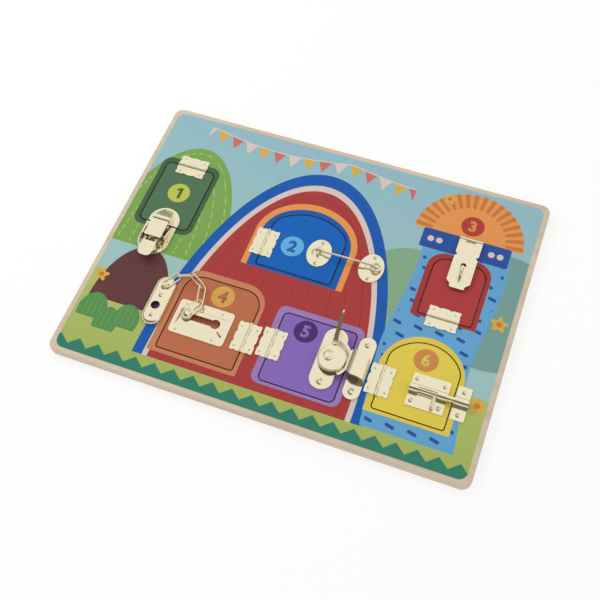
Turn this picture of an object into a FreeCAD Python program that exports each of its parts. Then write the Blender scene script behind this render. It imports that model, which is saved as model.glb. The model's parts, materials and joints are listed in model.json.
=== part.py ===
"""Wooden latch board with six numbered doors.

Millimetres, +X along the long side, +Y up the picture, +Z out of the picture side.
The board lies on its back: z = 0 is the back face, z = TOP the painted face.
Each function below builds one piece (or one group of equal fasteners) and every
piece is written as its own STEP file.
"""
import FreeCAD, Part
import math
import os

# driving dimensions of the board
BOARD_W = 400.0          # long side
BOARD_H = 300.0          # short side
BACK_T = 3.0             # back panel
FRONT_T = 6.0            # front panel with the six openings
TOP = BACK_T + FRONT_T   # painted face
BOARD_CORNER_R = 9.0
EDGE_R = 1.2             # rounded outer edges
KERF = 1.0               # saw gap round each door
DOOR_LIFT = 0.25         # gap between a door and the back panel
KERF_SOFT_R = 0.5        # rounded painted edges along the kerf

# doors: kerf centre lines measured on the painted face
# x0, x1, y0, y1, bottom corner radius, top corner radius, spring height of an arch or None
DOORS = {
    1: (-180.3, -128.3, 8.5, 82.0, 6.0, 6.0, None),
    2: (-51.0, 24.4, -3.0, 65.5, 2.5, 18.0, 41.0),
    3: (109.8, 160.8, -3.5, 60.5, 2.5, 13.0, None),
    4: (-105.3, -29.3, -115.3, -33.3, 2.5, 17.0, None),
    5: (-5.0, 66.5, -115.0, -43.0, 5.0, 5.0, None),
    6: (99.0, 165.0, -107.5, -31.5, 2.5, 16.0, -56.0),
}

# hinges: middle of the pin and the turn that points the door leaf at its door
HINGE_LEN = 30.0
HINGE_LEAF = 11.0
HINGE_LEAF_T = 0.9
HINGE_PIN_R = 0.8
HINGE_KNUCKLE_R = 1.3
HINGE_KNUCKLES = 5
HINGE_CLEAR = 0.05
HINGES = {
    1: (-153.5, 82.0, -90.0),
    2: (-51.0, 21.5, 0.0),
    3: (134.2, -3.5, 90.0),
    4: (-29.3, -80.4, 180.0),
    5: (-5.0, -78.4, 0.0),
    6: (99.0, -80.4, 0.0),
}

# fasteners
NAIL_HEAD_R = 1.2
NAIL_HEAD_H = 0.5
NAIL_SHANK_R = 0.6
NAIL_SHANK_L = 4.5
SCREW_HEAD_H = 0.9
SCREW_SHANK_R = 1.2
SCREW_SHANK_L = 5.0

# toggle latch below door 1
TOG_X = -154.0
TOG_PLATE_R = 15.5
TOG_PIN_Y, TOG_PIN_Z = -7.0, 5.0       # lever pin through the base
TOG_CLAW_Y, TOG_CLAW_Z = -16.0, 4.0    # claw pin through the lever
TOG_PIN_R = 1.2
TOG_TOP = 10.0
TOG_LEVER_HALF = 6.95    # runs between the arms of the claw

# hook and eye of door 2
HOOK_X, HOOK_Y = 3.2, 26.7
HOOK_Z = 6.0
EYE_X, EYE_Y = 60.0, 26.7
EYE_PLATE_X = 55.6
HOOK_WIRE_R = 1.1
STAPLE_R = 1.2

# hasp of door 3
HASP_X = 137.0
HASP_PIN_Y, HASP_PIN_Z = 86.0, 2.2
HASP_PIN_R = 0.9
HASP_KNUCKLE_R = 1.9
HASP_HALF = 11.25
HASP_TIP_Y = 30.2
HASP_Z0, HASP_Z1 = 2.4, 3.6

# door chain of door 4
CHAIN_X, CHAIN_Y = -121.0, -71.3
CHAIN_HALF = 26.5
CHAIN_TURN = 36.8
CHAIN_PTS = [(-121.0, -56.3, 5.9), (-113.0, -43.0, 5.6), (-101.0, -38.0, 5.6),
             (-86.5, -46.0, 5.8), (-82.0, -63.0, 6.9), (-88.5, -79.0, 7.3)]
CHAIN_TILT = [0.0, 130.0, 73.0, 126.0, 0.0]
CHAIN_WIRE_R = 0.75
CHAIN_BEND_R = 3.9
CHAIN_PLAY = 1.8
CHAIN_SHEET = 1.2        # sheet of the domed base plate
SLOT_Y = -79.0
SLOT_X0, SLOT_X1 = -88.5, -60.0
SLOT_HALF = 3.3
SLOT_END_R = 4.8

# cam latch of door 5
CAM_X, CAM_Y = 49.0, -75.5
CAM_RIVET_R = 2.5
CAM_WALL_R = 20.5
CAM_BLADE_X = 1.4         # thumb blade, right of the rivet
KEEPER_X = 78.5

# barrel bolt of door 6
BOLT_Y = -78.8
BOLT_R = 3.0
BOLT_Z = 1.0 + BOLT_R + 0.06
BOLT_X0, BOLT_X1 = 126.5, 177.5
BOLT_HANDLE_X = 149.0

V = FreeCAD.Vector
Z = V(0, 0, 1)


def box(x0, x1, y0, y1, z0, z1):
    return Part.makeBox(x1 - x0, y1 - y0, z1 - z0, V(x0, y0, z0))


def cyl(r, h, x, y, z, d=Z):
    return Part.makeCylinder(r, h, V(x, y, z), d)


def join(shapes):
    out = shapes[0]
    if len(shapes) > 1:
        out = shapes[0].multiFuse(shapes[1:])
    return out.removeSplitter()


def face_of(edges):
    return Part.Face(Part.Wire(edges))


def arc(cx, cy, r, a0, a1, z=0.0):
    a0, a1 = math.radians(a0), math.radians(a1)
    am = (a0 + a1) / 2
    p = [V(cx + r * math.cos(a), cy + r * math.sin(a), z) for a in (a0, am, a1)]
    return Part.Arc(*p).toShape()


def close_with_lines(arcs):
    """Join arcs end to start with straight edges."""
    edges = []
    for i, a in enumerate(arcs):
        edges.append(a)
        p, q = a.Vertexes[-1].Point, arcs[(i + 1) % len(arcs)].Vertexes[0].Point
        if p.distanceToPoint(q) > 1e-6:
            edges.append(Part.makeLine(p, q))
    return edges


def rounded(x0, x1, y0, y1, rb, rt, z=0.0):
    """Rectangle with one corner radius below and another one above."""
    return face_of(close_with_lines([
        arc(x0 + rb, y0 + rb, rb, 180, 270, z), arc(x1 - rb, y0 + rb, rb, 270, 360, z),
        arc(x1 - rt, y1 - rt, rt, 0, 90, z), arc(x0 + rt, y1 - rt, rt, 90, 180, z)]))


def arched(x0, x1, y0, y1, rb, rc, ys, z=0.0):
    """Straight sides up to ys, then a flat three-centre arch up to y1."""
    cx, w, h = (x0 + x1) / 2, (x1 - x0) / 2, y1 - ys
    d = ((w - rc) ** 2 - (h - rc) ** 2) / (2 * (h - rc))
    big = h + d
    a = math.degrees(math.atan2(d, w - rc))
    return face_of(close_with_lines([
        arc(x0 + rb, y0 + rb, rb, 180, 270, z), arc(x1 - rb, y0 + rb, rb, 270, 360, z),
        arc(x1 - rc, ys, rc, 0, a, z), arc(cx, ys - d, big, a, 180 - a, z),
        arc(x0 + rc, ys, rc, 180 - a, 180, z)]))


def plate(x0, x1, y0, y1, r, z0, z1):
    return rounded(x0, x1, y0, y1, r, r, z0).extrude(V(0, 0, z1 - z0))


def door_face(n, off, z):
    """Outline of door n moved outward by off."""
    x0, x1, y0, y1, rb, rt, ys = DOORS[n]
    x0, x1, y0, y1, rb, rt = x0 - off, x1 + off, y0 - off, y1 + off, rb + off, rt + off
    if ys is None:
        return rounded(x0, x1, y0, y1, rb, rt, z)
    return arched(x0, x1, y0, y1, rb, rt, ys, z)


def edges_at(shape, z, tol=1e-4):
    return [e for e in shape.Edges
            if abs(e.BoundBox.ZMin - z) < tol and abs(e.BoundBox.ZMax - z) < tol]


def prism_yz(points, x0, x1):
    """Extrude a polygon given as (y, z) from x0 to x1."""
    return Part.Face(Part.makePolygon([V(x0, y, z) for y, z in points + points[:1]])) \
        .extrude(V(x1 - x0, 0, 0))


def prism_xz(points, y0, y1):
    return Part.Face(Part.makePolygon([V(x, y0, z) for x, z in points + points[:1]])) \
        .extrude(V(0, y1 - y0, 0))


def dome_cap(r, h, x, y, z):
    """Spherical cap of base radius r and height h."""
    big = (r * r + h * h) / (2 * h)
    ball = Part.makeSphere(big, V(x, y, z + h - big))
    return ball.common(cyl(r + 0.01, h + 0.01, x, y, z))


# fasteners: one list of places feeds the fasteners, the plates and the wood
def hinge_spot(n, u, v):
    """Point of hinge n: u across the pin (door side positive), v along it."""
    x, y, turn = HINGES[n]
    c, s = math.cos(math.radians(turn)), math.sin(math.radians(turn))
    return (x + c * u - s * v, y + s * u + c * v)


def hinge_nails(n, side):
    return [hinge_spot(n, side * 7.6, v) for v in (-10.3, 10.3)]


SLOT_NAILS = [(-94.5, -65.4), (-58.0, -65.4), (-94.5, -93.4), (-58.0, -93.4)]
HOOK_SCREWS = [(HOOK_X, HOOK_Y - 11.8), (HOOK_X, HOOK_Y + 11.8)]
EYE_SCREWS = [(EYE_PLATE_X, EYE_Y - 12.2), (EYE_PLATE_X, EYE_Y + 12.2)]
CHAIN_SCREWS = [(-120.8, -66.6), (-120.8, -88.4)]
CAM_SCREWS = [(CAM_X, CAM_Y - 24.0), (CAM_X, CAM_Y + 24.0)]
KEEPER_SCREWS = [(KEEPER_X, CAM_Y - 24.0), (KEEPER_X, CAM_Y + 24.0)]
BOLT_SCREWS = [(129.8, BOLT_Y - 10.8), (129.8, BOLT_Y + 10.8),
               (155.2, BOLT_Y - 10.8), (155.2, BOLT_Y + 10.8)]
BOLT_KEEPER_SCREWS = [(172.5, BOLT_Y - 11.2), (172.5, BOLT_Y + 11.2)]

# thickness under each kind of fastener, and the screws' head radius
PLATE_T = {"leaf": HINGE_LEAF_T, "slot": 1.0, "hook": 1.2, "chain": 4.5, "cam": 1.5, "bolt": 1.0}
SCREW_HEAD_R = {"hook": 2.0, "chain": 2.4, "cam": 3.2, "bolt": 2.3}


def nail(spot, kind):
    z = TOP + PLATE_T[kind]
    return dome_cap(NAIL_HEAD_R, NAIL_HEAD_H, *spot, z).fuse(nail_hole(spot, kind))


def screw(spot, kind):
    x, y = spot
    z, r = TOP + PLATE_T[kind], SCREW_HEAD_R[kind]
    head = dome_cap(r, SCREW_HEAD_H, x, y, z)
    for w, d in ((0.58 * r, 0.14 * r), (0.14 * r, 0.58 * r)):
        head = head.cut(box(x - w, x + w, y - d, y + d, z + 0.25, z + 2))
    return head.fuse(screw_hole(spot, kind))


def nail_hole(spot, kind):
    return cyl(NAIL_SHANK_R, NAIL_SHANK_L, *spot, TOP + PLATE_T[kind] - NAIL_SHANK_L)


def screw_hole(spot, kind):
    length = SCREW_SHANK_L + PLATE_T[kind] - 1.0
    return cyl(SCREW_SHANK_R, length, *spot, TOP + PLATE_T[kind] - length)


def all_of(kind, spots):
    return [(spot, kind) for spot in spots]


def board_fasteners():
    nails = [a for n in HINGES for a in all_of("leaf", hinge_nails(n, -1))]
    screws = all_of("hook", EYE_SCREWS) + all_of("chain", CHAIN_SCREWS)
    screws += all_of("cam", KEEPER_SCREWS) + all_of("bolt", BOLT_KEEPER_SCREWS)
    return nails, screws


def door_fasteners(n):
    nails = all_of("leaf", hinge_nails(n, 1))
    if n == 4:
        nails += all_of("slot", SLOT_NAILS)
    screws = {2: all_of("hook", HOOK_SCREWS), 5: all_of("cam", CAM_SCREWS), 6: all_of("bolt", BOLT_SCREWS)}
    return nails, screws.get(n, [])


def drill(shape, nails, screws):
    holes = [nail_hole(*a) for a in nails] + [screw_hole(*a) for a in screws]
    return shape.cut(holes) if holes else shape


# wood
def opening(n):
    """Cutter of one door opening; it rounds the painted edge as it goes."""
    off = KERF / 2
    rim = door_face(n, off, TOP).OuterWire
    s = door_face(n, off, BACK_T).extrude(V(0, 0, FRONT_T))
    s = s.fuse(door_face(n, off + 2 * KERF_SOFT_R, TOP).extrude(V(0, 0, 1)))
    inner = []
    for e in edges_at(s, TOP):
        middle = Part.Vertex(e.valueAt((e.FirstParameter + e.LastParameter) / 2))
        if rim.distToShape(middle)[0] < KERF_SOFT_R / 2:
            inner.append(e)
    return s.makeFillet(KERF_SOFT_R, inner)


def front_panel():
    w, h = BOARD_W / 2, BOARD_H / 2
    s = plate(-w, w, -h, h, BOARD_CORNER_R, BACK_T, TOP)
    s = s.makeFillet(EDGE_R, edges_at(s, TOP))
    return drill(s.cut([opening(n) for n in DOORS]), *board_fasteners())


def back_panel():
    w, h = BOARD_W / 2, BOARD_H / 2
    s = plate(-w, w, -h, h, BOARD_CORNER_R, 0.0, BACK_T)
    return s.makeFillet(EDGE_R, edges_at(s, 0.0))


def door(n):
    z0 = BACK_T + DOOR_LIFT
    s = door_face(n, -KERF / 2, z0).extrude(V(0, 0, TOP - z0))
    s = s.makeFillet(KERF_SOFT_R, edges_at(s, TOP))
    return drill(s, *door_fasteners(n))


# hinges, built with the pin along Y and the door leaf on +X
def knuckle_spans():
    step = HINGE_LEN / HINGE_KNUCKLES
    for i in range(HINGE_KNUCKLES):
        yield i, -HINGE_LEN / 2 + i * step + 0.1, -HINGE_LEN / 2 + (i + 1) * step - 0.1


def place_hinge(shape, n):
    x, y, turn = HINGES[n]
    shape.Placement = FreeCAD.Placement(V(x, y, 0), FreeCAD.Rotation(Z, turn))
    return shape


def hinge_leaf(n, side):
    """side +1: door leaf (two knuckles); side -1: board leaf (three knuckles)."""
    half = HINGE_LEN / 2
    s = plate(1.5, HINGE_LEAF, -half, half, 1.3, TOP, TOP + HINGE_LEAF_T)
    s = s.fuse(box(1.5, 4.0, -half, half, TOP, TOP + HINGE_LEAF_T))
    for v in (-5.2, 5.2):
        s = s.cut(cyl(3.2, 4, HINGE_LEAF + 2.3, v, TOP - 1))
    for v in (-half - 2.4, half + 2.4):
        s = s.cut(cyl(3.0, 4, 6.6, v, TOP - 1))
    own = 1 if side > 0 else 0
    pin_z = TOP + HINGE_KNUCKLE_R
    for i, a, b in knuckle_spans():
        if i % 2 == own:
            s = s.fuse(box(0.2, 2.0, a, b, TOP, TOP + HINGE_LEAF_T))
            s = s.fuse(cyl(HINGE_KNUCKLE_R, b - a, 0, a, pin_z, V(0, 1, 0)))
    s = s.cut(cyl(HINGE_PIN_R + HINGE_CLEAR, HINGE_LEN + 2, 0, -half - 1, pin_z, V(0, 1, 0)))
    s = s.removeSplitter()
    if side < 0:
        s = s.mirror(V(0, 0, 0), V(1, 0, 0))
    s = place_hinge(s, n)
    return drill(s, all_of("leaf", hinge_nails(n, side)), [])


def hinge_pins():
    pins = []
    for n in HINGES:
        half = HINGE_LEN / 2
        s = cyl(HINGE_PIN_R, HINGE_LEN + 1.0, 0, -half - 0.5, TOP + HINGE_KNUCKLE_R, V(0, 1, 0))
        pins.append(place_hinge(s, n))
    return Part.Compound(pins)


# toggle latch of door 1
def toggle_base():
    x, r = TOG_X, TOG_PLATE_R
    s = rounded(x - r, x + r, -27.5, 7.6, r - 0.01, 1.0, TOP).extrude(V(0, 0, 1.0))
    for k in (-1, 1):
        flange = prism_yz([(-19, TOP + 0.9), (6, TOP + 0.9), (5, TOP + 4.2), (-3.5, TOP + 7.4),
                           (-10.5, TOP + 7.4), (-18, TOP + 3.4)], x + k * 11.9 - 0.55, x + k * 11.9 + 0.55)
        s = s.fuse(flange)
        rim = box(x + k * 15.0 - 0.5, x + k * 15.0 + 0.5, -12, 7, TOP + 0.9, TOP + 2.2)
        s = s.fuse(rim)
    ring = cyl(r, 1.3, x, -12.0, TOP + 0.9).cut(cyl(r - 1.0, 2, x, -12.0, TOP + 0.5))
    s = s.fuse(ring.common(box(x - r - 1, x + r + 1, -28, -12, TOP, TOP + 3)))
    s = s.cut(cyl(TOG_PIN_R + 0.0, 40, x - 20, TOG_PIN_Y, TOP + TOG_PIN_Z, V(1, 0, 0)))
    return s.removeSplitter()


def toggle_base_pin():
    s = cyl(TOG_PIN_R, 26.0, TOG_X - 13.0, TOG_PIN_Y, TOP + TOG_PIN_Z, V(1, 0, 0))
    return s


def toggle_lever():
    x = TOG_X
    half = TOG_LEVER_HALF
    top = rounded(x - half, x + half, -34.0, -17.4, 5.0, 0.5, TOP + 8.4).extrude(V(0, 0, 1.0))
    parts = [top]
    for k in (-1, 1):
        x0, x1 = sorted((x + k * 5.4, x + k * 6.7))
        ear = prism_yz([(-8.5, TOP + 3.0), (-5.0, TOP + 3.6), (-4.9, TOP + 6.4), (-7.5, TOP + 7.2),
                        (-17.6, TOP + 9.3), (-29, TOP + 9.3), (-29, TOP + 8.0), (-19, TOP + 3.0),
                        (-16.5, TOP + 1.9)], x0, x1)
        parts.append(ear)
    s = join(parts)
    s = s.cut(cyl(TOG_PIN_R + 0.05, 40, x - 20, TOG_PIN_Y, TOP + TOG_PIN_Z, V(1, 0, 0)))
    s = s.cut(cyl(TOG_PIN_R, 40, x - 20, TOG_CLAW_Y, TOP + TOG_CLAW_Z, V(1, 0, 0)))
    return s.removeSplitter()


def toggle_claw_pin():
    return cyl(TOG_PIN_R, 17.6, TOG_X - 8.8, TOG_CLAW_Y, TOP + TOG_CLAW_Z, V(1, 0, 0))


def toggle_claw():
    x = TOG_X
    parts = [plate(x - 8.75, x + 8.75, -11.7, 7.7, 0.6, TOP + 9.0, TOP + TOG_TOP)]
    for k in (-1, 1):
        x0, x1 = sorted((x + k * 7.1, x + k * 8.3))
        parts.append(prism_yz([(-18.2, TOP + 3.0), (-17.2, TOP + 5.6), (-11.5, TOP + 9.8), (6.0, TOP + 9.8),
                               (6.0, TOP + 7.3), (-9.8, TOP + 7.2), (-13.8, TOP + 2.6), (-16.2, TOP + 1.8)],
                              x0, x1))
    parts.append(box(x - 5.8, x + 5.8, 6.2, 7.5, TOP + 4.2, TOP + 9.4))
    s = join(parts)
    s = s.cut(cyl(TOG_PIN_R + 0.05, 40, x - 20, TOG_CLAW_Y, TOP + TOG_CLAW_Z, V(1, 0, 0)))
    return s.removeSplitter()


def toggle_catch():
    x, r = TOG_X, TOG_PLATE_R
    s = rounded(x - r, x + r, 9.3, 27.7, 1.0, r - 0.01, TOP).extrude(V(0, 0, 1.0))
    ramp = prism_yz([(8.8, TOP + 0.9), (8.8, TOP + TOG_TOP - 0.3), (9.6, TOP + TOG_TOP), (12.5, TOP + 9.6),
                     (25.2, TOP + 1.2), (25.2, TOP + 0.9)], x - 8.7, x + 8.7)
    taper = Part.Face(Part.makePolygon([V(x - 8.7, 8, TOP), V(x + 8.7, 8, TOP), V(x + 8.7, 14, TOP),
                                        V(x + 4.5, 26, TOP), V(x - 4.5, 26, TOP), V(x - 8.7, 14, TOP),
                                        V(x - 8.7, 8, TOP)])).extrude(V(0, 0, 20))
    s = s.fuse(ramp.common(taper))
    s = s.fuse(box(x - 8.6, x + 8.6, 3.2, 5.2, TOP + 3.6, TOP + 6.6))
    for k in (-1, 1):
        x0, x1 = sorted((x + k * 6.8, x + k * 8.6))
        s = s.fuse(box(x0, x1, 5.0, 9.5, TOP + 3.6, TOP + 6.6))
    return s.removeSplitter()


# hook and eye of door 2
def oval_plate(x, y, w, h, t):
    e = Part.Ellipse(V(x, y + h / 2, TOP), V(x + w / 2, y, TOP), V(x, y, TOP)).toShape()
    s = Part.Face(Part.Wire([e])).extrude(V(0, 0, t))
    return s.makeFillet(0.5, edges_at(s, TOP + t))


def hook_plate():
    s = oval_plate(HOOK_X, HOOK_Y, 24.0, 31.0, PLATE_T["hook"])
    s = s.fuse(dome_cap(8.5, 1.2, HOOK_X, HOOK_Y, TOP + 1.0))
    z, half = TOP + HOOK_Z, 4.2
    for v in (-half, half):
        s = s.fuse(cyl(STAPLE_R, HOOK_Z - 1.0, HOOK_X, HOOK_Y + v, TOP + 1.0))
        s = s.fuse(Part.makeSphere(STAPLE_R, V(HOOK_X, HOOK_Y + v, z)))
    s = s.fuse(cyl(STAPLE_R, 2 * half, HOOK_X, HOOK_Y - half, z, V(0, 1, 0)))
    return drill(s.removeSplitter(), [], all_of("hook", HOOK_SCREWS))


def hook_rod():
    z = TOP + HOOK_Z
    r = HOOK_WIRE_R
    ring = STAPLE_R + 0.1 + r
    parts = [Part.makeTorus(ring, r, V(HOOK_X, HOOK_Y, z), V(0, 1, 0))]
    a, b = V(HOOK_X + ring, HOOK_Y, z), V(EYE_X - 2.0, HOOK_Y, TOP + 7.4)
    d = b - a
    parts.append(Part.makeCylinder(r, d.Length, a, d))
    parts.append(Part.makeSphere(r, b))
    bend = V(EYE_X, HOOK_Y, TOP + 5.9)
    d2 = bend - b
    parts.append(Part.makeCylinder(r, d2.Length, b, d2))
    parts.append(Part.makeSphere(r, bend))
    parts.append(cyl(r, 1.9, EYE_X, HOOK_Y, TOP + 4.0))
    parts.append(Part.makeSphere(r, V(EYE_X, HOOK_Y, TOP + 4.0)))
    return join(parts)


def eye_plate():
    s = oval_plate(EYE_PLATE_X, EYE_Y, 24.5, 32.0, PLATE_T["hook"])
    s = s.fuse(dome_cap(8.0, 1.1, EYE_PLATE_X, EYE_Y, TOP + 1.0))
    ring, r = 4.2, 1.1
    s = s.fuse(Part.makeTorus(ring, r, V(EYE_X, EYE_Y, TOP + 5.0), Z))
    s = s.fuse(cyl(1.3, 4.0, EYE_X + ring, EYE_Y, TOP + 0.9))
    for a in (120, 240):
        px, py = EYE_X + ring * math.cos(math.radians(a)), EYE_Y + ring * math.sin(math.radians(a))
        s = s.fuse(cyl(1.0, 4.0, px, py, TOP + 0.9))
    return drill(s.removeSplitter(), [], all_of("hook", EYE_SCREWS))


# hasp of door 3
def hasp_leaf():
    x = HASP_X
    s = plate(x - 10.4, x + 10.4, 64.5, 83.6, 1.0, TOP, TOP + 1.0)
    tab = prism_yz([(82.5, TOP), (86.0, TOP + 0.3), (86.0, TOP + 1.6), (84.0, TOP + 1.6),
                    (82.5, TOP + 1.0)], x - 4.4, x + 4.4)
    s = s.fuse(tab)
    s = s.fuse(cyl(HASP_KNUCKLE_R, 8.8, x - 4.4, HASP_PIN_Y, TOP + HASP_PIN_Z, V(1, 0, 0)))
    s = s.cut(cyl(HASP_PIN_R, 40, x - 20, HASP_PIN_Y, TOP + HASP_PIN_Z, V(1, 0, 0)))
    return s.removeSplitter()


def hasp_pin():
    return cyl(HASP_PIN_R, 22.4, HASP_X - 11.2, HASP_PIN_Y, TOP + HASP_PIN_Z, V(1, 0, 0))


def hasp_strap():
    x, w = HASP_X, HASP_HALF
    pts = [(-w, 84.4), (-w, 69.0), (-w + 1.9, 67.6), (-w + 1.9, 66.4), (-w, 65.0), (-w, 37.4),
           (-8.2, 34.4), (-7.2, 33.4), (-7.2, HASP_TIP_Y + 1.0), (-6.2, HASP_TIP_Y)]
    pts = pts + [(-a, b) for a, b in reversed(pts)]
    poly = Part.makePolygon([V(x + a, b, TOP + HASP_Z0) for a, b in pts + pts[:1]])
    s = Part.Face(poly).extrude(V(0, 0, HASP_Z1 - HASP_Z0))
    s = s.cut(box(x - 4.7, x + 4.7, 80.4, 88, TOP, TOP + 6))
    for k in (-1, 1):
        x0, x1 = sorted((x + k * 4.7, x + k * w))
        s = s.fuse(cyl(HASP_KNUCKLE_R, x1 - x0, x0, HASP_PIN_Y, TOP + HASP_PIN_Z, V(1, 0, 0)))
    s = s.cut(cyl(HASP_PIN_R + 0.05, 40, x - 20, HASP_PIN_Y, TOP + HASP_PIN_Z, V(1, 0, 0)))
    s = s.cut(plate(x - 2.7, x + 2.7, 37.4, 58.8, 2.6, TOP + 1, TOP + 5))
    return s.removeSplitter()


def hasp_staple():
    x, y, r = HASP_X, 48.0, 1.1
    s = plate(x - 5.0, x + 5.0, y - 9.5, y + 9.5, 2.0, TOP, TOP + 1.0)
    z = TOP + 5.6
    for v in (-5.2, 5.2):
        s = s.fuse(cyl(r, z - TOP - 0.9, x, y + v, TOP + 0.9))
    crown = Part.makeTorus(5.2, r, V(x, y, z), V(1, 0, 0))
    s = s.fuse(crown.common(box(x - 3, x + 3, y - 8, y + 8, z, z + 8)))
    return s.removeSplitter()


# door chain of door 4
def chain_base():
    x, y = CHAIN_X, CHAIN_Y
    s = plate(x - 10, x + 10, y - CHAIN_HALF, y + CHAIN_HALF, 9.99, TOP, TOP + PLATE_T["chain"])
    s = s.makeFillet(3.6, edges_at(s, TOP + PLATE_T["chain"]))
    a = CHAIN_SHEET
    hollow = plate(x - 10 + a, x + 10 - a, y - CHAIN_HALF + a, y + CHAIN_HALF - a, 9.99 - a,
                   TOP, TOP + PLATE_T["chain"] - a)
    s = s.cut(hollow.makeFillet(3.6 - a, edges_at(hollow, TOP + PLATE_T["chain"] - a)))
    s = s.cut(cyl(4.3, 6, x - 0.2, -78.0, TOP + 1.0))
    px, py, pz = CHAIN_PTS[0]
    t = TOP + PLATE_T["chain"]
    bridge = box(px - 3.8, px + 3.8, py - 1.0, py + 1.0, t - 0.6, TOP + 8.2)
    bridge = bridge.cut(box(px - 2.9, px + 2.9, py - 3, py + 3, t, TOP + 7.2))
    bridge.rotate(V(px, py, 0), Z, CHAIN_TURN)
    s = s.fuse(bridge)
    return drill(s.removeSplitter(), [], all_of("chain", CHAIN_SCREWS))


def chain_link(k):
    """Wire loop k (0 to 4) between two chain points."""
    p, q = (V(a, b, TOP + c) for a, b, c in CHAIN_PTS[k:k + 2])
    u = q - p
    length = u.Length
    u.normalize()
    side = Z.cross(u)
    side.normalize()
    up = u.cross(side)
    t = math.radians(CHAIN_TILT[k])
    n = side * math.cos(t) + up * math.sin(t)
    w = u.cross(n)
    bend = [CHAIN_BEND_R, CHAIN_BEND_R]
    ext = [CHAIN_PLAY, CHAIN_PLAY]
    if k == 4:
        bend[1], ext[1] = 4.6, 4.6
    r = CHAIN_WIRE_R
    x0, x1 = -ext[0] + bend[0], length + ext[1] - bend[1]
    left = Part.makeTorus(bend[0], r, V(x0, 0, 0), Z).common(box(x0 - 9, x0, -9, 9, -3, 3))
    right = Part.makeTorus(bend[1], r, V(x1, 0, 0), Z).common(box(x1, x1 + 9, -9, 9, -3, 3))
    parts = [left, right]
    for s in (-1, 1):
        a, b = V(x0, s * bend[0], 0), V(x1, s * bend[1], 0)
        parts.append(Part.makeCylinder(r, (b - a).Length, a, b - a))
        if k == 4:
            parts += [Part.makeSphere(r, a), Part.makeSphere(r, b)]
    s = join(parts)
    m = FreeCAD.Matrix(u.x, n.x, w.x, p.x, u.y, n.y, w.y, p.y, u.z, n.z, w.z, p.z, 0, 0, 0, 1)
    return s.transformShape(m)


def chain_knob():
    x, y, _ = CHAIN_PTS[5]
    s = cyl(4.2, 2.0, x, y, TOP + 1.2)
    s = s.fuse(cyl(2.6, 9.0, x, y, TOP + 1.2))
    s = s.fuse(cyl(4.0, 0.8, x, y, TOP + 5.3))
    s = s.fuse(dome_cap(4.4, 2.6, x, y, TOP + 8.7))
    return s.removeSplitter()


def loft(lo, z0, hi, z1, r0, r1):
    w0 = rounded(*lo, r0, r0, z0).OuterWire
    w1 = rounded(*hi, r1, r1, z1).OuterWire
    return Part.makeLoft([w0, w1], True, True)


def slot_plate():
    s = plate(-101.2, -46.8, -97.0, -61.6, 3.5, TOP, TOP + 1.0)
    s = s.fuse(loft((-98.2, -49.8, -89.0, -69.2), TOP + 0.9, (-94.0, -54.6, -86.0, -72.2), TOP + 5.0, 3.0, 2.0))
    s = s.cut(loft((-96.6, -51.4, -87.4, -70.8), TOP - 0.01, (-93.4, -55.2, -85.2, -73.0), TOP + 4.0, 2.5, 1.5))
    s = s.cut(plate(SLOT_X0 - SLOT_HALF, SLOT_X1, SLOT_Y - SLOT_HALF, SLOT_Y + SLOT_HALF,
                    SLOT_HALF - 0.01, TOP + 2, TOP + 7))
    s = s.cut(cyl(SLOT_END_R, 5, SLOT_X1, SLOT_Y, TOP + 2))
    return drill(s.removeSplitter(), all_of("slot", SLOT_NAILS), [])


# cam latch of door 5
def cam_base():
    x, y, t = CAM_X, CAM_Y, PLATE_T["cam"]
    s = plate(x - 11.25, x + 11.25, y - 31.5, y + 31.5, 11.24, TOP, TOP + t)
    s = s.makeFillet(0.7, edges_at(s, TOP + t))
    s = s.cut(cyl(CAM_RIVET_R, 4, x, y, TOP - 1))
    return drill(s, [], all_of("cam", CAM_SCREWS))


def cam_lever():
    x, y = CAM_X, CAM_Y
    disc = cyl(13.0, 3.8, x + 3.6, y - 1.2, TOP + 4.2)
    disc = disc.makeFillet(1.4, edges_at(disc, TOP + 8.0))
    flange = [(0.0, 2.8), (14.0, 2.8), (CAM_WALL_R, 5.0), (CAM_WALL_R, 6.6), (CAM_WALL_R - 1.0, 6.6),
              (13.0, 4.4), (0.0, 4.4)]
    ring = Part.Face(Part.makePolygon([V(x + r, y, TOP + z) for r, z in flange + flange[:1]]))
    ring = ring.revolve(V(x, y, 0), Z, 146)
    ring.rotate(V(x, y, 0), Z, -48)
    low, high = Part.BSplineCurve(), Part.BSplineCurve()
    low.interpolate([V(x - 4, a, TOP + b) for a, b in
                     ((-63, 3.2), (-56, 3.4), (-49, 6.0), (-43, 11.0), (-38.5, 17.5), (-35.6, 24.5))])
    high.interpolate([V(x - 4, a, TOP + b) for a, b in
                      ((-35.6, 24.5), (-38.4, 24.0), (-44.5, 20.0), (-51, 14.8), (-57, 10.0), (-63, 7.6))])
    last = Part.makeLine(V(x - 4, -63, TOP + 7.6), V(x - 4, -63, TOP + 3.2))
    blade = face_of([low.toShape(), high.toShape(), last]).extrude(V(10, 0, 0))
    plan = [(1.9, -64), (1.6, -54), (1.0, -44), (0.3, -35), (-0.5, -35), (-1.9, -44), (-2.4, -54), (-1.9, -64)]
    plan = [V(x + CAM_BLADE_X + a, b, TOP) for a, b in plan + plan[:1]]
    blade = blade.common(Part.Face(Part.makePolygon(plan)).extrude(V(0, 0, 30)))
    s = join([disc, cyl(7.0, 3.2, x, y, TOP + 1.6), ring, blade])
    s = s.cut(cyl(CAM_RIVET_R + 0.05, 20, x, y, TOP))
    return s.cut(cyl(5.6, 2, x, y, TOP + 7.5)).removeSplitter()


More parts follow.
